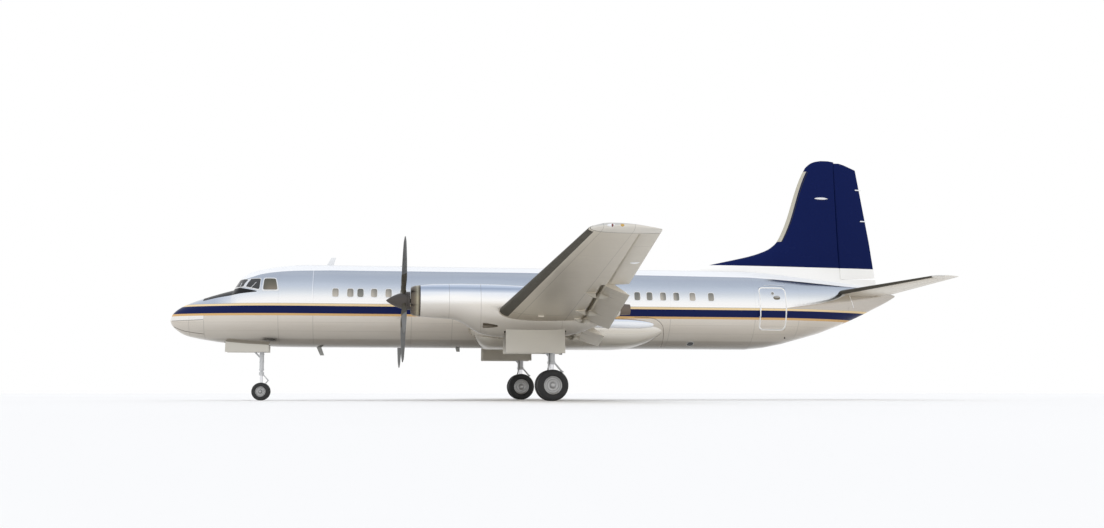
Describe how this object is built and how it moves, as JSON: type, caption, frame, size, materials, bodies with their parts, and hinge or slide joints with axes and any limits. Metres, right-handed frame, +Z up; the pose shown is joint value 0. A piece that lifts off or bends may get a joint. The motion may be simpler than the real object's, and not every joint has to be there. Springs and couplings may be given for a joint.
{
  "type": "twin-turboprop airliner",
  "caption": "Low-wing turboprop airliner standing on its gear, with turning propellers and wheels, moving flaps, ailerons, elevators and rudder, nose steering and a rear door.",
  "frame": {"origin": "on the ground, under the middle of the aircraft's box", "axes": "+X aft along the fuselage, +Y to starboard along the span, +Z up"},
  "size_m": [26.3, 32, 8.98],
  "materials": {
    "radome_metal": "satin",
    "bare_metal": "polished",
    "window_glass": "gloss",
    "tail_metal": "satin",
    "navy_paint": "gloss",
    "gear_paint": "satin",
    "wing_metal": "satin",
    "cowl_metal": "polished",
    "intake_metal": "satin",
    "engine_iron": "matte",
    "exhaust_steel": "satin",
    "hub_metal": "satin",
    "tyre_rubber": "matte",
    "blade_metal": "satin",
    "control_metal": "satin"
  },
  "bodies": {
    "airframe": {"radome": "radome_metal", "cockpit_section": "bare_metal", "windscreen": "window_glass", "cabin_section": "bare_metal", "tail_section": "bare_metal", "tail_cone": "tail_metal", "belly_fairing": "tail_metal", "fin": "navy_paint", "nose_leg": "gear_paint", "nose_door_left": "bare_metal", "nose_door_right": "bare_metal", "wing_left": "wing_metal", "nacelle_left": "cowl_metal", "cowling_left": "cowl_metal", "intake_ring_left": "intake_metal", "engine_left": "engine_iron", "exhaust_left": "exhaust_steel", "tailplane_left": "wing_metal", "main_leg_left": "gear_paint", "main_door_inner_left": "cowl_metal", "main_door_outer_left": "cowl_metal", "wing_right": "wing_metal", "nacelle_right": "cowl_metal", "cowling_right": "cowl_metal", "intake_ring_right": "intake_metal", "engine_right": "engine_iron", "exhaust_right": "exhaust_steel", "tailplane_right": "wing_metal", "main_leg_right": "gear_paint", "main_door_inner_right": "cowl_metal", "main_door_outer_right": "cowl_metal"},
    "rear_door": {"rear_door": "bare_metal"},
    "rudder": {"rudder": "navy_paint"},
    "nose_fork": {"nose_fork": "gear_paint"},
    "nose_wheels": {"nose_hubs": "hub_metal", "nose_tyre_left": "tyre_rubber", "nose_tyre_right": "tyre_rubber"},
    "main_wheels_left": {"main_hubs_left": "hub_metal", "main_tyre_inner_left": "tyre_rubber", "main_tyre_outer_left": "tyre_rubber"},
    "propeller_left": {"propeller_left": "blade_metal"},
    "aileron_left": {"aileron_left": "control_metal"},
    "elevator_left": {"elevator_left": "control_metal"},
    "flap_inner_left": {"flap_inner_left": "control_metal"},
    "flap_outer_left": {"flap_outer_left": "control_metal"},
    "main_wheels_right": {"main_hubs_right": "hub_metal", "main_tyre_inner_right": "tyre_rubber", "main_tyre_outer_right": "tyre_rubber"},
    "propeller_right": {"propeller_right": "blade_metal"},
    "aileron_right": {"aileron_right": "control_metal"},
    "elevator_right": {"elevator_right": "control_metal"},
    "flap_inner_right": {"flap_inner_right": "control_metal"},
    "flap_outer_right": {"flap_outer_right": "control_metal"}
  },
  "joints": [
    {"name": "rear_door_swing", "type": "hinge", "parent": "airframe", "child": "rear_door", "pos_m": [7.438, -1.452, 3.28], "axis": [0, 0, -1], "range_deg": [0, 100]},
    {"name": "rudder_swing", "type": "hinge", "parent": "airframe", "child": "rudder", "pos_m": [11.07, 0, 4.48], "axis": [-0.0403, 0, 0.9992], "range_deg": [-25, 25]},
    {"name": "nose_steer", "type": "hinge", "parent": "airframe", "child": "nose_fork", "pos_m": [-10.05, 0, 1.02], "axis": [0, 0, 1], "range_deg": [-60, 60]},
    {"name": "nose_wheels_spin", "type": "hinge", "parent": "nose_fork", "child": "nose_wheels", "pos_m": [-10.05, 0, 0.305], "axis": [0, 1, 0], "continuous": true},
    {"name": "main_wheels_left_spin", "type": "hinge", "parent": "airframe", "child": "main_wheels_left", "pos_m": [-0.53, -4.3, 0.5], "axis": [0, 1, 0], "continuous": true},
    {"name": "propeller_left_spin", "type": "hinge", "parent": "airframe", "child": "propeller_left", "pos_m": [-5.27, -4.3, 3.17], "axis": [1, 0, 0], "continuous": true},
    {"name": "aileron_left_swing", "type": "hinge", "parent": "airframe", "child": "aileron_left", "pos_m": [0.26872, -10.2, 3.32219], "axis": [0.0592, 0.9917, -0.1144], "range_deg": [-20, 20]},
    {"name": "flap_inner_left_swing", "type": "hinge", "parent": "airframe", "child": "flap_inner_left", "pos_m": [0.52344, -1.62, 2.04397], "axis": [0.0564, 0.9909, -0.1223], "range_deg": [-24, 11]},
    {"name": "flap_outer_left_swing", "type": "hinge", "parent": "airframe", "child": "flap_outer_left", "pos_m": [0.33453, -4.94, 2.45333], "axis": [0.0564, 0.991, -0.1214], "range_deg": [-24, 11]},
    {"name": "elevator_left_swing", "type": "hinge", "parent": "airframe", "child": "elevator_left", "pos_m": [12.3, -0.46, 3.9292], "axis": [0, 0.9998, -0.02], "range_deg": [-25, 15]},
    {"name": "main_wheels_right_spin", "type": "hinge", "parent": "airframe", "child": "main_wheels_right", "pos_m": [-0.53, 4.3, 0.5], "axis": [0, 1, 0], "continuous": true},
    {"name": "propeller_right_spin", "type": "hinge", "parent": "airframe", "child": "propeller_right", "pos_m": [-5.27, 4.3, 3.17], "axis": [1, 0, 0], "continuous": true},
    {"name": "aileron_right_swing", "type": "hinge", "parent": "airframe", "child": "aileron_right", "pos_m": [0.26872, 10.2, 3.32219], "axis": [-0.0592, 0.9917, 0.1144], "range_deg": [-20, 20]},
    {"name": "flap_inner_right_swing", "type": "hinge", "parent": "airframe", "child": "flap_inner_right", "pos_m": [0.52344, 1.62, 2.04397], "axis": [-0.0564, 0.9909, 0.1223], "range_deg": [-24, 11]},
    {"name": "flap_outer_right_swing", "type": "hinge", "parent": "airframe", "child": "flap_outer_right", "pos_m": [0.33453, 4.94, 2.45333], "axis": [-0.0564, 0.991, 0.1214], "range_deg": [-24, 11]},
    {"name": "elevator_right_swing", "type": "hinge", "parent": "airframe", "child": "elevator_right", "pos_m": [12.3, 0.46, 3.9292], "axis": [0, 0.9998, 0.02], "range_deg": [-25, 15]}
  ],
  "couplings": [
    {"joint": "aileron_right_swing", "follows": "aileron_left_swing", "ratio": -1},
    {"joint": "elevator_right_swing", "follows": "elevator_left_swing", "ratio": 1},
    {"joint": "flap_inner_left_swing", "follows": "flap_outer_left_swing", "ratio": 1},
    {"joint": "flap_inner_right_swing", "follows": "flap_outer_left_swing", "ratio": 1},
    {"joint": "flap_outer_right_swing", "follows": "flap_outer_left_swing", "ratio": 1}
  ]
}
